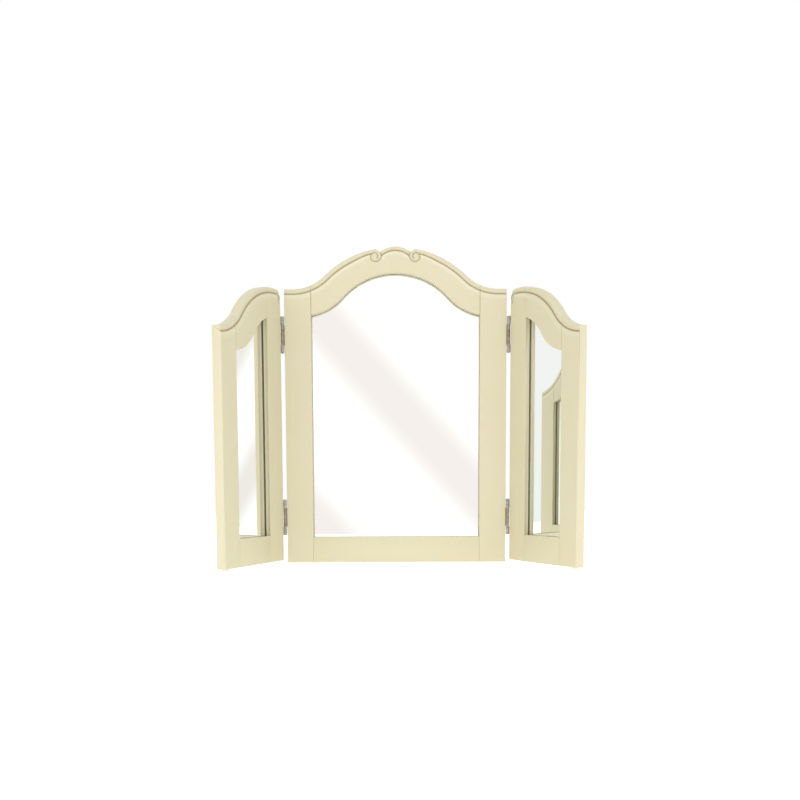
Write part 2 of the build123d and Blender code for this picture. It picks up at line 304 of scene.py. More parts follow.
def hardboard():
    """Brown pressed fibre, with its short fibres showing as flecks."""
    board = Shader("brown_hardboard", roughness=0.7)
    fleck = board.noise(board.place((520, 520, 210)), 1.0, 5.0, 0.7)
    cloud = board.noise(board.place(), 16.0, 3.0)
    weave = board.node("ShaderNodeTexVoronoi", {}, {"Vector": board.place(), "Scale": 900.0})
    shade = board.ramp(fleck, [(0.3, (0.115, 0.062, 0.030, 1)), (0.55, (0.205, 0.118, 0.060, 1)),
                               (0.75, (0.300, 0.190, 0.105, 1))])
    board.feed("Base Color", board.blend(cloud * 0.35, shade, (0.16, 0.088, 0.042, 1)))
    board.feed("Roughness", 0.58 + fleck * 0.25)
    board.bump(fleck * 0.7 + weave * 0.3, 0.5, 0.0003)
    return board.material


def bare_beech():
    beech = Shader("bare_beech", roughness=0.6)
    rays = beech.noise(beech.place((60, 900, 900)), 1.0, 3.0)
    shade = [(0.35, (0.52, 0.34, 0.19, 1)), (0.7, (0.66, 0.47, 0.29, 1))]
    beech.feed("Base Color", beech.ramp(rays, shade))
    beech.bump(rays, 0.3, 0.0002)
    return beech.material


def white_nylon():
    nylon = Shader("white_nylon", roughness=0.45)
    scuff = nylon.noise(nylon.place(), 700.0, 4.0)
    nylon.feed("Base Color", nylon.blend(scuff, (0.84, 0.84, 0.80, 1), (0.74, 0.74, 0.69, 1)))
    nylon.bump(scuff, 0.2, 0.0002)
    return nylon.material


silver = mirror_silver()
steel_bright = plated_steel("plated_steel_bright", (0.46, 0.455, 0.43, 1), (0.29, 0.28, 0.25, 1), 0.38)
# A darker, warm brown copy of the same plated steel for the centre's hinge leaves: painted shade and a painted
# reflection of the cream frame.
steel_painted_shade = plated_steel("plated_steel_painted_shade", (0.40, 0.35, 0.28, 1), (0.21, 0.175, 0.125, 1), 0.42)
zinc = plated_steel("zinc_plate", (0.70, 0.70, 0.66, 1), (0.50, 0.49, 0.44, 1), 0.33)
board_brown = hardboard()
beech = bare_beech()
nylon = white_nylon()
print("materials:", len(bpy.data.materials))


# %% [markdown]
# ## Building and placing meshes
# Everything on a wing is drawn as if the mirror lay flat and on the right. `to_side` then
# mirrors it for the left and turns it about the hinge pin, so both wings share one recipe.

# %% Helpers that make a closed mesh and put it on its side
def to_side(points, body):
    """Takes points from the flat right-hand layout to a body's place at rest."""
    if body == "centre_panel":
        return points
    points = np.array(points, float)
    sign = 1.0
    if body == "left_wing":
        points[:, 0] *= -1
        sign = -1.0
    pivot = pivots[body]
    angle = -sign * math.radians(rest_fold[body])
    x, y = points[:, 0] - pivot.x, points[:, 1] - pivot.y
    points[:, 0] = pivot.x + x * math.cos(angle) - y * math.sin(angle)
    points[:, 1] = pivot.y + x * math.sin(angle) + y * math.cos(angle)
    return points


def new_piece(name, points, faces, material, body, replaced, smooth=32, shade=None):
    """A mesh object from points and faces, outward and smooth but for its sharp edges."""
    mesh = bpy.data.meshes.new(name)
    mesh.from_pydata([tuple(p) for p in points], [], [tuple(f) for f in faces])
    if shade is not None:
        # The shade is kept on the mesh as painted shade and painted highlight for the paint to read.
        mesh.attributes.new("crevice", "FLOAT", "POINT").data.foreach_set("value", shade)
    shell = bmesh.new()
    shell.from_mesh(mesh)
    bmesh.ops.remove_doubles(shell, verts=shell.verts, dist=1e-6)
    bmesh.ops.dissolve_degenerate(shell, edges=shell.edges, dist=1e-6)
    bmesh.ops.recalc_face_normals(shell, faces=shell.faces)
    shell.to_mesh(mesh)
    shell.free()
    return finish_piece(name, mesh, material, body, replaced, smooth)


def finish_piece(name, mesh, material, body, replaced, smooth=32):
    """Links a mesh as an object that rides on a body and stands for its CAD node."""
    mesh.materials.clear()
    mesh.materials.append(material)
    mesh.shade_smooth()
    mesh.set_sharp_from_angle(angle=math.radians(smooth))
    piece = bpy.data.objects.new(name, mesh)
    bpy.context.scene.collection.objects.link(piece)
    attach(piece, body)
    if replaced:
        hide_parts(*replaced)
    return piece


def loft(columns):
    """Joins equal rings of points into a closed tube with capped ends: points and faces."""
    count = len(columns[0])
    points = np.concatenate(columns)
    faces = []
    for k in range(len(columns) - 1):
        a, b = k * count, (k + 1) * count
        faces += [(a + i, a + (i + 1) % count, b + (i + 1) % count, b + i) for i in range(count)]
    faces.append(tuple(range(count)))
    faces.append(tuple(range(len(points) - count, len(points))))
    return points, faces


# %% [markdown]
# ## The moulded edge
# The joiner runs a bead along the top. Going up the face there is a crisp arris, a narrow
# quirk cut behind it, and then the bead swells forward and rolls back over the top. As a
# formula, depth depends only on the distance from the outline, so one function serves every
# panel. The stage's light is too even to shade the quirk by itself, so the function also
# gives the paint painted light: painted shade in the quirk, and a painted highlight on a strip
# just below it. The bead is a little wider than the plain one in CAD.

# %% Bead profile
BEAD = 11.0 * MM
SWELL = 0.3 * MM
SWELL_AT = 0.5
QUIRK_AT = 0.91
QUIRK_DEPTH = 2.4 * MM
QUIRK_SHADE = 1.9 * MM
# The painted highlight: how far below the bead the lighter strip lies, how far it reaches and how strong it is.
HIGHLIGHT_BELOW = 2.0 * MM
HIGHLIGHT_REACH = 4.0 * MM
HIGHLIGHT_STRENGTH = 0.55
ROLL_DEPTH = 6.2 * MM


def bead_profile(distance, width=BEAD):
    """Depth behind the face, and the painted shade and painted highlight, at a distance from the outline."""
    u = np.clip(distance / width, 0, 1)
    outer = np.clip(1 - u / SWELL_AT, 0, 1)
    inner = np.clip((u - SWELL_AT) / (QUIRK_AT - SWELL_AT), 0, 1)
    wall = np.clip((1 - u) / (1 - QUIRK_AT), 0, 1)
    roll = SWELL + (ROLL_DEPTH - SWELL) * (1 - np.sqrt(1 - outer**2.4))
    fall = SWELL + (QUIRK_DEPTH - SWELL) * (1 - np.sqrt(1 - inner**2.4))
    depth = np.where(u < SWELL_AT, roll, np.where(u < QUIRK_AT, fall, QUIRK_DEPTH * wall**0.7))
    # The second value is painted light: painted shade in the quirk, and a painted highlight on a strip just below
    # the bead.
    shade = np.exp(-(((distance - QUIRK_AT * width) / QUIRK_SHADE) ** 2))
    below = distance - width - HIGHLIGHT_BELOW
    painted_highlight = HIGHLIGHT_STRENGTH * np.exp(-((below / np.where(below < 0, HIGHLIGHT_BELOW, HIGHLIGHT_REACH)) ** 2))
    return depth, shade - painted_highlight * (1 - shade)


for share in (0.0, 0.25, 0.5, 0.91, 1.2):
    depth, shade = bead_profile(np.array(share * BEAD))
    print(f"at {share:.2f} of the bead's width: {float(depth) / MM:.2f} mm deep, shade {float(shade):.2f}")


# %% [markdown]
# ## The carved scrolls
# On the centre panel the bead stops at each side of a small crest and curls into a scroll. A
# logarithmic spiral shrinks by the same share each turn, as a carver's scroll does. The
# distance to the nearest turn gives the groove between the strips.

# %% Crest and scroll geometry
SCROLL_X = 36.4 * MM
SCROLL_Z = 549.3 * MM
SCROLL_RADIUS = 13.6 * MM
SCROLL_SHRINK = 0.128
SCROLL_END = 2.75 * math.pi
GROOVE_HALF = 1.45 * MM
GROOVE_DEPTH = 1.9 * MM
CREST_RADIUS = 46 * MM
CREST_CROWN = 567.0 * MM
CREST_BEAD = 8.6 * MM
CREST_REACH = 30 * MM
SHOULDER_REACH = 24 * MM


def crest_height(x):
    return CREST_CROWN - CREST_RADIUS + np.sqrt(np.maximum(CREST_RADIUS**2 - x**2, 0))


def centre_outline(x):
    """Silhouette of the centre panel's top: the ogee, the scrolls' shoulders and the crest."""
    x = np.asarray(x, float)
    ogee = centre_top.height(x)
    inward = SCROLL_X - np.abs(x)
    angle = np.clip(inward / SCROLL_RADIUS, 0, 1) * np.pi / 2
    radius = SCROLL_RADIUS * np.exp(-SCROLL_SHRINK * angle)
    shoulder = SCROLL_Z + np.sqrt(np.maximum(radius**2 - inward**2, 0))
    blend_in = np.clip((np.abs(x) - SCROLL_X) / SHOULDER_REACH, 0, 1)
    blend_in = blend_in * blend_in * (3 - 2 * blend_in)
    side = SCROLL_Z + SCROLL_RADIUS + (ogee - centre_top.height(SCROLL_X))
    side = side + (ogee - side) * blend_in
    scroll = np.where(inward > 0, np.where(inward < radius, shoulder, 0), side)
    return np.maximum(scroll, np.where(np.abs(x) < CREST_REACH, crest_height(x), 0))


def distance_to(x, z, line_x, line_z):
    """Shortest distance from each point to a fine polyline's vertices."""
    out = np.empty(len(x))
    for start in range(0, len(x), 4000):
        part = slice(start, start + 4000)
        gaps = (x[part, None] - line_x[None]) ** 2 + (z[part, None] - line_z[None]) ** 2
        out[part] = np.sqrt(gaps.min(axis=1))
    return out


def groove(gap):
    """Depth and shade of a carved groove, `gap` from its middle."""
    shape = np.exp(-((gap / GROOVE_HALF) ** 2))
    return GROOVE_DEPTH * shape, shape


def stronger(shade, over):
    """A cut's painted shade laid over what was there, which may hold a painted highlight and so be below zero."""
    return shade * (1 - over) + np.maximum(shade, over) * over


def carve_centre(x, z):
    """Depth and shade over the centre panel's top: bead, scrolls and crest."""
    line = np.linspace(SCROLL_X, centre_half, 900)
    side = distance_to(np.abs(x), z, line, centre_outline(line))
    taper = np.clip((np.abs(x) - SCROLL_X) / (40 * MM), 0, 1)
    depth, shade = bead_profile(side, BEAD * (0.76 + 0.24 * taper))
    line = np.linspace(-CREST_REACH, CREST_REACH, 400)
    crest = bead_profile(distance_to(x, z, line, crest_height(line)), CREST_BEAD)
    between = np.abs(x) < SCROLL_X
    depth, shade = np.where(between, crest[0], depth), np.where(between, crest[1], shade)

    across, up = SCROLL_X - np.abs(x), z - SCROLL_Z
    radius, angle = np.hypot(across, up), np.arctan2(across, up) % (2 * np.pi)
    limit = SCROLL_RADIUS * np.exp(-SCROLL_SHRINK * angle)
    turns = np.log(limit / np.maximum(radius, 1e-6)) / (2 * np.pi * SCROLL_SHRINK)
    winding = np.minimum(angle + 2 * np.pi * np.clip(np.round(turns), 0, 1), SCROLL_END)
    edge = SCROLL_RADIUS * np.exp(-SCROLL_SHRINK * winding)
    gap = np.hypot(across - edge * np.sin(winding), up - edge * np.cos(winding))
    cut, cut_shade = groove(gap)
    line = np.linspace(-60 * MM, 60 * MM, 1200)
    outline = distance_to(x, z, line, centre_outline(line))
    strip = bead_profile(np.minimum(outline, SWELL_AT * BEAD))[0]
    inside = radius < limit
    depth = np.where(inside, strip, depth)
    shade = np.where(inside, 0, shade)
    return np.maximum(depth, cut), stronger(shade, cut_shade)


print("outline at the scroll's top and at the notch:", centre_outline([SCROLL_X, 26 * MM]))


# %% [markdown]
# ## Top rails and stiles
# Each member is lofted from upright slices. A slice runs up the face, over the bead and down
# the back, where two steps hold the glass and the back board. Slices stand close together
# over the carving, and at each wall of a rebate there are two at the same place.

# %% Slices of a panel
ARRIS = 0.5 * MM
JOINT_HALF = 0.6 * MM
JOINT_DEPTH = 1.1 * MM
FINE = 0.42 * MM
COARSE = 1.3 * MM


@dataclass
class Panel:
    """What the slices of one panel need to know."""
    x_left: float
    x_right: float
    floor: float
    top: Ogee
    arch: Ogee
    outline: object
    carve: object
    carved_to: float
    rows_deep: float


WING_CORNER = 8 * MM
CURL_BELOW_CROWN = 17 * MM
CURL_RADII = (7.6 * MM, 3.2 * MM)
CURL_REACH = 10 * MM
CURL_START = 0.35


def wing_outline(x):
    """The wing's ogee with its inner corner rounded over."""
    radius = WING_CORNER
    run = np.clip(np.asarray(x, float) - wing_edge, 0, radius)
    return wing_top.height(x) - radius + np.sqrt(np.maximum(radius**2 - (radius - run) ** 2, 0))


def carve_wing(x, z):
    """The wing's bead, which starts in a half scroll at the inner corner."""
    line = wing_edge + wing_width * np.linspace(0, 1, 1500) ** 1.6
    depth, shade = bead_profile(distance_to(x, z, line, wing_outline(line)))
    across, up = x - wing_edge, z - (wing_top.crown - CURL_BELOW_CROWN)
    radius, angle = np.hypot(across, up), np.arctan2(across, up)
    outer, inner = (np.abs(radius - curl) for curl in CURL_RADII)
    curl, curl_shade = groove(np.minimum(outer, inner))
    near = radius < CURL_REACH
    inside = near & (angle > CURL_START)
    depth = np.where(near, np.minimum(depth, QUIRK_DEPTH), depth)
    depth = np.where(inside, np.maximum(curl, SWELL), depth)
    return depth, np.where(inside, curl_shade, shade)


centre_panel = Panel(-opening_half, opening_half, 0.0, centre_top, centre_arch, centre_outline,
                     carve_centre, 80 * MM, 32 * MM)
wing_panel = Panel(wing_edge + wing_inner_stile, wing_edge + wing_width - wing_outer_stile, wing_floor,
                   wing_top, wing_arch, wing_outline, carve_wing, wing_edge + 16 * MM, 28 * MM)


def front_rows(panel, x, low):
    """Heights up the face for each x; in the bead they run parallel to the outline."""
    dense = np.arange(0, BEAD * 1.15, 0.33 * MM)
    carved = bool(np.any(np.abs(x) < panel.carved_to))
    below = np.arange(dense[-1], panel.rows_deep, FINE if carved else 4 * MM)[1:]
    insets = np.concatenate([dense, below])[::-1]
    drop = panel.top.height(x)[:, None] - np.stack([panel.top.height(x, d) for d in insets], axis=1)
    upper = panel.outline(x)[:, None] - drop
    start = low + np.minimum(4 * ARRIS, (upper[:, 0] - low) / 3)
    lower = [low + share * ARRIS for share in (0.0, 0.2, 0.5, 1.0)]
    lower += [start + (upper[:, 0] - start) * share for share in (0.0, 0.33, 0.66)]
    return np.concatenate([np.stack(lower, axis=1), upper], axis=1)


def back_steps(panel, x, inside_glass, inside_board, whole):
    """Points down the back of one slice: the two rebates, then on to the floor or the arch."""
    board_floor = glass_back if inside_board else back_y
    glass_floor = glass_front if inside_glass else board_floor
    z_board = float(panel.arch.height(x, -board_rebate))
    z_glass = float(panel.arch.height(x, -glass_rebate))
    steps = [(z_board, back_y), (z_board, board_floor), (z_glass, board_floor), (z_glass, glass_floor)]
    if not whole:
        return steps + [(float(panel.arch.height(x)), glass_floor)]
    rail_top = panel.floor + rail_height
    low_glass, low_board = rail_top - glass_rebate, rail_top - board_rebate
    steps += [(low_glass, glass_floor), (low_glass, board_floor), (low_board, board_floor)]
    return steps + [(low_board, back_y), (panel.floor, back_y)]


def slice_places(panel, x_from, x_to):
    """The x of each slice: close where it is carved and at the ends, double at a rebate's wall."""
    ends = np.array([0.0, 0.12, 0.3, 0.6, 1.0, 1.8]) * MM
    places = {0.0, *(x_from + ends), *(x_to - ends)} - {0.0}
    x = x_from
    while x < x_to:
        places.add(x)
        x += FINE if abs(x) < panel.carved_to else COARSE
    places = [(x, 0) for x in places if x_from <= x <= x_to]
    for reach in (glass_rebate, board_rebate):
        for wall in (panel.x_left - reach, panel.x_right + reach):
            if x_from < wall < x_to:
                places += [(wall, -1), (wall, 1)]
    return sorted(places)


def eased_ends(panel, x, z, x_from, x_to):
    """Depth and shade along a member's two ends: a fine V at a joint, an arris elsewhere."""
    joint_low, joint_high = panel.floor + rail_height, panel.arch.height(x)
    jointed = (z < joint_low) | (z > joint_high)
    depth, shade = np.zeros_like(x), np.zeros_like(x)
    for end, gap in ((x_from, x - x_from), (x_to, x_to - x)):
        inner = min(abs(end - panel.x_left), abs(end - panel.x_right)) < 1e-6
        share = np.clip(1 - gap / JOINT_HALF, 0, 1)
        round_share = np.clip(1 - gap / ARRIS, 0, 1)
        soft = ARRIS * (1 - np.sqrt(np.maximum(1 - round_share**2, 0)))
        depth = np.maximum(depth, np.where(jointed & inner, JOINT_DEPTH * share, soft))
        shade = np.maximum(shade, np.where(jointed & inner, share**0.5, 0))
    return depth, shade


def upper_member(panel, x_from, x_to, whole):
    """Points, faces and shade of a stile (whole) or a top rail between two x values."""
    places = slice_places(panel, x_from, x_to)
    x = np.array([place[0] for place in places])
    low = np.full(len(x), panel.floor) if whole else panel.arch.height(x)
    rows = front_rows(panel, x, low)
    grid = np.repeat(x[:, None], rows.shape[1], axis=1)
    depth, shade = (part.reshape(rows.shape) for part in panel.carve(grid.ravel(), rows.ravel()))
    end_depth, end_shade = eased_ends(panel, grid, rows, x_from, x_to)
    bottom = np.clip(1 - (rows - low[:, None]) / ARRIS, 0, 1)
    depth = np.maximum(depth, end_depth) + ARRIS * (1 - np.sqrt(np.maximum(1 - bottom**2, 0)))
    shade = stronger(shade, end_shade)
    columns, tones = [], []
    for k, (place, hint) in enumerate(places):
        probe = place + hint * 1e-5
        gap = max(panel.x_left - probe, probe - panel.x_right, 0)
        front = np.stack([grid[k], front_y + depth[k], rows[k]], axis=1)
        back = [(place, back_y - ARRIS, rows[k][-1]), (place, back_y, rows[k][-1] - ARRIS)]
        for z, y in back_steps(panel, place, gap < glass_rebate, gap < board_rebate, whole):
            back.append((place, y, z))
        columns.append(np.concatenate([front, np.array(back)]))
        tones.append(np.concatenate([shade[k], np.zeros(len(back))]))
    points, faces = loft(columns)
    return points, faces, np.concatenate(tones)


def moulded_pieces():
    """All the stiles and top rails of the three panels."""
    inner, outer = wing_panel.x_left, wing_panel.x_right
    wing_end = wing_edge + wing_width
    layout = [("centre", "left_stile", centre_panel, -centre_half, -opening_half, True),
              ("centre", "right_stile", centre_panel, opening_half, centre_half, True),
              ("centre", "top_rail", centre_panel, -opening_half, opening_half, False)]
    for side in ("left", "right"):
        layout += [(side, "inner_stile", wing_panel, wing_edge, inner, True),
                   (side, "outer_stile", wing_panel, outer, wing_end, True),
                   (side, "top_rail", wing_panel, inner, outer, False)]
    for side, member, panel, x_from, x_to, whole in layout:
        body = "centre_panel" if side == "centre" else f"{side}_wing"
        points, faces, shade = upper_member(panel, x_from, x_to, whole)
        material = paint_upright if whole else paint_level
        piece = new_piece(f"{side}_{member}_moulded", to_side(points, body), faces, material, body,
                          [f"{side}_{member}"], shade=shade)
        print(piece.name, len(piece.data.polygons), "faces")


moulded_pieces()


# %% [markdown]
# ## Bottom rails and back boards
# These have the right shape in CAD, but every real edge is eased. A copy of the node's mesh
# is merged, its flat faces are joined and a narrow bevel rounds what is left.

# %% Eased copies of CAD nodes
def eased(node, name, material, width, segments=2, smooth=32):
    """A copy of a CAD node with its sharp edges rounded over by a small width."""
    mesh = frame["nodes"][node].data.copy()
    shell = bmesh.new()
    shell.from_mesh(mesh)
    bmesh.ops.remove_doubles(shell, verts=shell.verts, dist=1e-6)
    bmesh.ops.dissolve_limit(shell, angle_limit=math.radians(2), verts=shell.verts, edges=shell.edges)
    sharp = [e for e in shell.edges if len(e.link_faces) == 2 and e.calc_face_angle() > math.radians(40)]
    bmesh.ops.bevel(shell, geom=sharp, offset=width, segments=segments, profile=0.6,
                    affect="EDGES", clamp_overlap=True)
    bmesh.ops.triangulate(shell, faces=[f for f in shell.faces if len(f.verts) > 4])
    shell.to_mesh(mesh)
    shell.free()
    return finish_piece(name, mesh, material, body_of(node), [node], smooth)


def body_of(node):
    """The body that a CAD node belongs to."""
    return next(body for body, nodes in frame["record"]["behaviour"]["bodies"].items() if node in nodes)


for side in ("centre", "left", "right"):
    eased(f"{side}_bottom_rail", f"{side}_bottom_rail_eased", paint_level, 0.35 * MM)
    eased(f"{side}_back_board", f"{side}_back_board_eased", board_brown, 0.2 * MM, 1)
print("eased pieces done")


# %% [markdown]
# ## Mirror panes
# The eye sees the silver through the glass, which makes it seem to lie about two thirds of
# the way in. Here it is set a little shallower, to narrow the dark line that the space in
# front of it gives beside every frame. The pane is solid from that plane back.

# %% Silvered panes
SILVER_AT = 2.0 * MM
PANE_GAP = 0.8 * MM


def silvered_pane(panel, side, body):
    """A pane of one panel, from the plane that stands for the silver to its back."""
    reach = glass_rebate - PANE_GAP
    x = np.linspace(panel.x_left - reach, panel.x_right + reach, 160)
    top = panel.arch.height(x, -reach)
    low = panel.floor + rail_height - reach
    front, back = glass_front + SILVER_AT, glass_back
    columns = [np.array([(a, front, low), (a, front, t), (a, back, t), (a, back, low)])
               for a, t in zip(x, top)]
    points, faces = loft(columns)
    new_piece(f"{side}_mirror_silvered", to_side(points, body), faces, silver, body, [f"{side}_mirror"])
    print(f"{side} pane {2 * reach + panel.x_right - panel.x_left:.4f} m wide")


silvered_pane(centre_panel, "centre", "centre_panel")
silvered_pane(wing_panel, "left", "left_wing")
silvered_pane(wing_panel, "right", "right_wing")


# %% [markdown]
# ## Screws by Geometry Nodes
# Dozens of the same screw are one shape repeated, which is what instancing is for. The tree
# makes a countersunk head with a cross cut in it, puts one at each point and turns it along
# the point's own direction. The sizes are named inputs.

# %% The screw tree
def screw_tree():
    tree = bpy.data.node_groups.new("countersunk_screws", "GeometryNodeTree")
    face = tree.interface
    face.new_socket("Geometry", in_out="INPUT", socket_type="NodeSocketGeometry")
    names = ("Head Radius", "Shank Radius", "Head Height", "Length", "Slot Width", "Slot Depth")
    for name in names:
        face.new_socket(name, in_out="INPUT", socket_type="NodeSocketFloat")
    face.new_socket("Material", in_out="INPUT", socket_type="NodeSocketMaterial")
    face.new_socket("Geometry", in_out="OUTPUT", socket_type="NodeSocketGeometry")
    new, link = tree.nodes.new, tree.links.new
    start, end = new("NodeGroupInput"), new("NodeGroupOutput")

    def maths(operation, first, second):
        made = new("ShaderNodeMath")
        made.operation = operation
        for socket, value in zip(made.inputs, (first, second)):
            if isinstance(value, (int, float)):
                socket.default_value = value
            else:
                link(value, socket)
        return made.outputs[0]

    def moved(geometry, z):
        shift, vector = new("GeometryNodeTransform"), new("ShaderNodeCombineXYZ")
        link(z, vector.inputs["Z"])
        link(geometry, shift.inputs["Geometry"])
        link(vector.outputs[0], shift.inputs["Translation"])
        return shift.outputs[0]

    head = new("GeometryNodeMeshCone")
    head.inputs["Vertices"].default_value = 28
    link(start.outputs["Shank Radius"], head.inputs["Radius Bottom"])
    link(start.outputs["Head Radius"], head.inputs["Radius Top"])
    link(start.outputs["Head Height"], head.inputs["Depth"])
    head_low = maths("MULTIPLY", start.outputs["Head Height"], -1.0)
    slots = []
    for along in (0, 1):
        box, size = new("GeometryNodeMeshCube"), new("ShaderNodeCombineXYZ")
        long_side = maths("MULTIPLY", start.outputs["Head Radius"], 1.25)
        link(long_side, size.inputs[along])
        link(start.outputs["Slot Width"], size.inputs[1 - along])
        link(maths("MULTIPLY", start.outputs["Slot Depth"], 2.0), size.inputs["Z"])
        link(size.outputs[0], box.inputs["Size"])
        slots.append(box.outputs["Mesh"])
    cut = new("GeometryNodeMeshBoolean")
    cut.operation = "DIFFERENCE"
    link(moved(head.outputs["Mesh"], head_low), cut.inputs["Mesh 1"])
    for slot in slots:
        link(slot, cut.inputs["Mesh 2"])
    shank = new("GeometryNodeMeshCone")
    shank.inputs["Vertices"].default_value = 16
    link(start.outputs["Shank Radius"], shank.inputs["Radius Top"])
    shank.inputs["Radius Bottom"].default_value = 0.0002
    link(maths("SUBTRACT", start.outputs["Length"], start.outputs["Head Height"]), shank.inputs["Depth"])
    joined = new("GeometryNodeJoinGeometry")
    link(moved(shank.outputs["Mesh"], maths("MULTIPLY", start.outputs["Length"], -1.0)), joined.inputs[0])
    link(cut.outputs["Mesh"], joined.inputs[0])
    points, spread = new("GeometryNodeMeshToPoints"), new("GeometryNodeInstanceOnPoints")
    facing, aim = new("GeometryNodeInputNamedAttribute"), new("FunctionNodeAlignRotationToVector")
    facing.data_type = "FLOAT_VECTOR"
    facing.inputs["Name"].default_value = "facing"
    aim.axis = "Z"
    link(facing.outputs["Attribute"], aim.inputs["Vector"])
    link(start.outputs["Geometry"], points.inputs["Mesh"])
    link(points.outputs[0], spread.inputs["Points"])
    link(joined.outputs[0], spread.inputs["Instance"])
    link(aim.outputs[0], spread.inputs["Rotation"])
    real, paint = new("GeometryNodeRealizeInstances"), new("GeometryNodeSetMaterial")
    link(spread.outputs[0], real.inputs[0])
    link(real.outputs[0], paint.inputs["Geometry"])
    link(start.outputs["Material"], paint.inputs["Material"])
    link(paint.outputs[0], end.inputs[0])
    return tree


screws = screw_tree()
print("screw tree:", len(screws.nodes), "nodes")
SCREW_SIZES = {"Head Radius": 2.65 * MM, "Shank Radius": 1.4 * MM, "Head Height": 1.3 * MM,
               "Slot Width": 0.75 * MM, "Slot Depth": 0.85 * MM}


def set_screws(name, places, length, body, node):
    """Screws at (point, direction) places, made a plain mesh that stands for a CAD node."""
    points = to_side(np.array([p for p, _ in places]), body)
    tips = to_side(np.array([np.array(p) + np.array(d) for p, d in places]), body)
    seeds = bpy.data.meshes.new(name + "_seeds")
    seeds.from_pydata([tuple(p) for p in points], [], [])
    facing = seeds.attributes.new("facing", "FLOAT_VECTOR", "POINT")
    facing.data.foreach_set("vector", (tips - points).ravel())
    holder = bpy.data.objects.new(name + "_seeds", seeds)
    bpy.context.scene.collection.objects.link(holder)
    modifier = holder.modifiers.new("screws", "NODES")
    modifier.node_group = screws
    sockets = {item.name: item.identifier for item in screws.interface.items_tree
               if item.in_out == "INPUT"}
    for key, value in {**SCREW_SIZES, "Length": length, "Material": zinc}.items():
        modifier[sockets[key]] = value
    depsgraph = bpy.context.evaluated_depsgraph_get()
    mesh = bpy.data.meshes.new_from_object(holder.evaluated_get(depsgraph))
    holder.modifiers.remove(modifier)
    bpy.data.objects.remove(holder)
    bpy.data.meshes.remove(seeds)
    mesh.name = name
    finish_piece(name, mesh, zinc, body, [node])
    print(name, len(places), "screws")


# %% [markdown]
# The back boards are held by screws in the rim outside the glass, and each hinge leaf by two.
# A board's screws follow from its panel's own sizes, and a leaf's are as far apart as in CAD.

# %% Screws in the boards and the hinges
BOARD_SCREW_INSET = 5 * MM
BOARD_SCREW_ROWS = 4
BOARD_SCREW_LENGTH = 8.5 * MM
HINGE_SCREW_LENGTH = 13 * MM
HINGE_SCREW_BACK = 6.5 * MM
CENTRE_LEAF_SPREAD = 8.5 * MM
WING_LEAF_SPREAD = 24.375 * MM


def board_places(panel):
    """Where each back-board screw sits and that it faces back."""
    inset = board_rebate - PANE_GAP - BOARD_SCREW_INSET
    low = panel.floor + rail_height + BOARD_SCREW_INSET
    places = []
    for x, corner in ((panel.x_left - inset, panel.x_left), (panel.x_right + inset, panel.x_right)):
        high = float(panel.arch.height(corner)) - BOARD_SCREW_INSET
        places += [(x, z) for z in np.linspace(low, high, BOARD_SCREW_ROWS)]
    middle = (panel.x_left + panel.x_right) / 2
    top = float(panel.arch.height(middle, -inset))
    places += [(middle, low - BOARD_SCREW_INSET - inset), (middle, top)]
    return [((x, board_back, z), (0, 1, 0)) for x, z in places]


hinge_levels = {level: sum(corner[2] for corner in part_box(f"right_{level}_hinge_wing_leaf")) / 2
                for level in ("lower", "upper")}
LEAF = 1.3 * MM


def hinge_places(z, edge, facing, spread):
    """The two screws of a leaf, facing out of the panel's edge."""
    return [((edge + facing * LEAF, front_y + HINGE_SCREW_BACK, z + step), (facing, 0, 0))
            for step in (-spread, spread)]


for side, panel in (("centre", centre_panel), ("left", wing_panel), ("right", wing_panel)):
    body = "centre_panel" if side == "centre" else f"{side}_wing"
    set_screws(f"{side}_board_screws_set", board_places(panel), BOARD_SCREW_LENGTH, body,
               f"{side}_board_screws")
for side, sign in (("left", -1), ("right", 1)):
    for level, z in hinge_levels.items():
        stem = f"{side}_{level}_hinge"
        fixed = hinge_places(z, centre_half, 1, CENTRE_LEAF_SPREAD)
        fixed = [((sign * p[0], p[1], p[2]), (sign * d[0], d[1], d[2])) for p, d in fixed]
        set_screws(f"{stem}_centre_screws_set", fixed, HINGE_SCREW_LENGTH, "centre_panel",
                   f"{stem}_centre_screws")
        swinging = hinge_places(z, wing_edge, -1, WING_LEAF_SPREAD)
        set_screws(f"{stem}_wing_screws_set", swinging, HINGE_SCREW_LENGTH, f"{side}_wing",
                   f"{stem}_wing_screws")


# %% [markdown]
# ## Hinges, dowels and glides
# The hinge leaves are pressed steel: the CAD shape is right, so only its edges are eased. The
# centre's leaf and its knuckle get a darker, warm brown copy of the steel, which is painted
# shade and a painted reflection of the cream frame, while the wing's leaf is bright.

# %% Finish the small hardware
for side in ("left", "right"):
    for level in hinge_levels:
        stem = f"{side}_{level}_hinge"
        eased(f"{stem}_centre_leaf", f"{stem}_centre_leaf_eased", steel_painted_shade, 0.15 * MM, 2, 40)
        eased(f"{stem}_wing_leaf", f"{stem}_wing_leaf_eased", steel_bright, 0.15 * MM, 2, 40)
        eased(f"{stem}_pin", f"{stem}_pin_eased", steel_bright, 0.15 * MM, 2, 40)

for name, node in frame["nodes"].items():
    if name.endswith("_dowels"):
        node.data.materials.clear()
        node.data.materials.append(beech)
    if name.endswith("_glide"):
        node.data.materials.clear()
        node.data.materials.append(nylon)
print("hardware done")


# %% [markdown]
# ## Stage, light and camera
# A pale floor lies under the mirror in a white world, and a large white card faces it from
# behind the camera. The glass shows that card, so its few soft grey bands give the slanting
# sheen that a polished mirror has in a bright room. The card is hidden from the camera's own
# rays, because a view from behind the mirror would look straight at it.

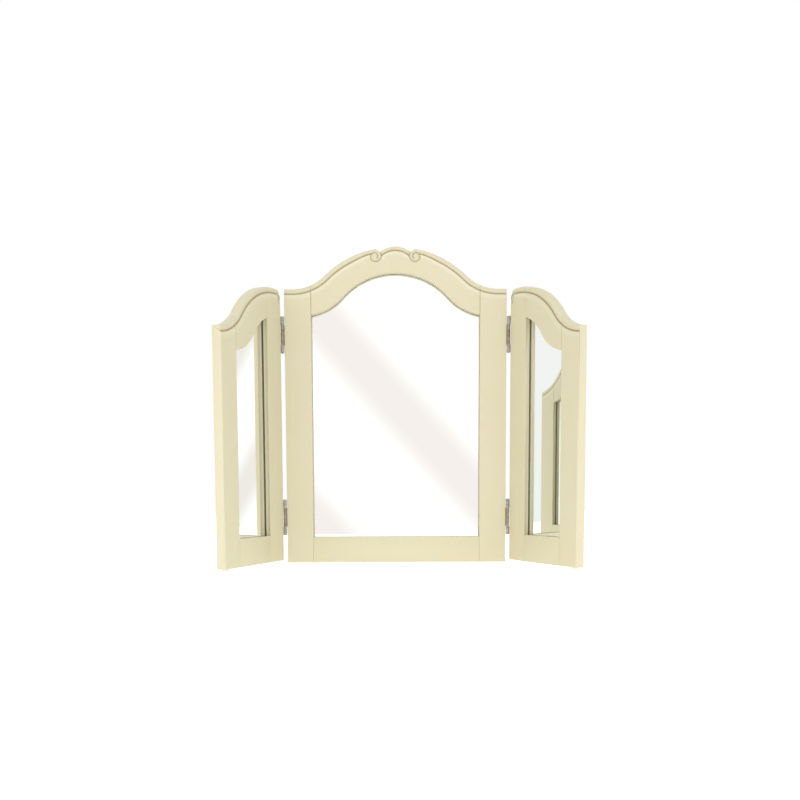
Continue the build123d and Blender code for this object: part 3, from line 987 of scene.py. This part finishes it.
# %% Floor, card and lights
def plane(name, corners, material):
    mesh = bpy.data.meshes.new(name)
    mesh.from_pydata(corners, [], [(0, 1, 2, 3)])
    mesh.materials.append(material)
    made = bpy.data.objects.new(name, mesh)
    bpy.context.scene.collection.objects.link(made)
    return made


def floor_material():
    floor = Shader("pale_floor", roughness=0.9, emission_strength=0.5)
    floor.surface.inputs["Base Color"].default_value = (0.93, 0.93, 0.93, 1)
    floor.surface.inputs["Emission Color"].default_value = (1, 1, 1, 1)
    return floor.material


BAND_SPACING = 0.85
BAND_TILT = math.radians(42)
BAND_START = 0.47
CARD_HALF = 4.0
CARD_AT = -3.0
CARD_LOW = -1.5
CARD_HIGH = 4.5
CARD_GLOW = 1.2
FLOOR_HALF = 6.0
FLOOR_FRONT = -1.07


def card_material():
    """A glowing white card with soft slanting bands that are a little greyer."""
    card = Shader("softbox_card", roughness=1.0)
    where = card.place()
    parts = card.node("ShaderNodeSeparateXYZ", {}, [where])
    height = Signal(card, parts.socket.node.outputs["Z"])
    across = parts * math.cos(BAND_TILT) + height * math.sin(BAND_TILT)
    phase = (across - BAND_START) / BAND_SPACING
    wave = card.node("ShaderNodeMath", {"operation": "COSINE"}, [phase * (2 * math.pi)])
    band = ((wave + 0.2) / 1.08).clamp()
    shade = card.blend(band, (1.0, 1.0, 1.0, 1), (0.80, 0.752, 0.737, 1))
    card.surface.inputs["Base Color"].default_value = (0, 0, 0, 1)
    card.feed("Emission Color", shade)
    card.surface.inputs["Emission Strength"].default_value = CARD_GLOW
    return card.material


plane("floor", [(-FLOOR_HALF, FLOOR_FRONT, 0), (FLOOR_HALF, FLOOR_FRONT, 0),
                (FLOOR_HALF, FLOOR_HALF, 0), (-FLOOR_HALF, FLOOR_HALF, 0)], floor_material())
card = plane("card", [(-CARD_HALF, CARD_AT, CARD_LOW), (-CARD_HALF, CARD_AT, CARD_HIGH),
                      (CARD_HALF, CARD_AT, CARD_HIGH), (CARD_HALF, CARD_AT, CARD_LOW)],
             card_material())
card.visible_camera = False

world = bpy.data.worlds.new("white_room")
world.use_nodes = True
world.node_tree.nodes["Background"].inputs["Color"].default_value = (1, 1, 1, 1)
world.node_tree.nodes["Background"].inputs["Strength"].default_value = 1.0
bpy.context.scene.world = world


def softbox(name, place, target, size, power):
    light = bpy.data.lights.new(name, "AREA")
    light.shape = "RECTANGLE"
    light.size, light.size_y = size
    light.energy = power
    lamp = bpy.data.objects.new(name, light)
    lamp.location = place
    lamp.rotation_euler = (Vector(target) - Vector(place)).to_track_quat("-Z", "Y").to_euler()
    lamp.visible_glossy = False
    bpy.context.scene.collection.objects.link(lamp)


softbox("key", (-1.5, -1.2, 1.2), (0, 0, 0.3), (1.0, 0.8), 2.2)
softbox("fill", (0.3, -1.9, 0.25), (0, 0, 0.05), (1.4, 0.4), 5)

# %% [markdown]
# The camera stands low and close, so the wings' lower edges slope, and the wings' glass shows
# parts of the frame. A vertical shift frames the mirror without tilting the camera more.

# %% Camera
CAMERA_AT = (0.0016, -1.284, 0.1123)
CAMERA_YAW, CAMERA_PITCH, CAMERA_ROLL = 0.0038, 0.0676, -0.0039
camera_data = bpy.data.cameras.new("camera")
camera_data.sensor_width = 36.0
camera_data.lens = 31.3
camera_data.shift_y = 0.185
camera_data.dof.use_dof = False
camera = bpy.data.objects.new("camera", camera_data)
look = Matrix.Rotation(-CAMERA_YAW, 4, "Z")
look = look @ Matrix.Rotation(math.pi / 2 - CAMERA_PITCH, 4, "X")
look = look @ Matrix.Rotation(CAMERA_ROLL, 4, "Z")
camera.matrix_world = Matrix.Translation(CAMERA_AT) @ look
bpy.context.scene.collection.objects.link(camera)
bpy.context.scene.camera = camera
bpy.context.scene.view_settings.view_transform = "Standard"
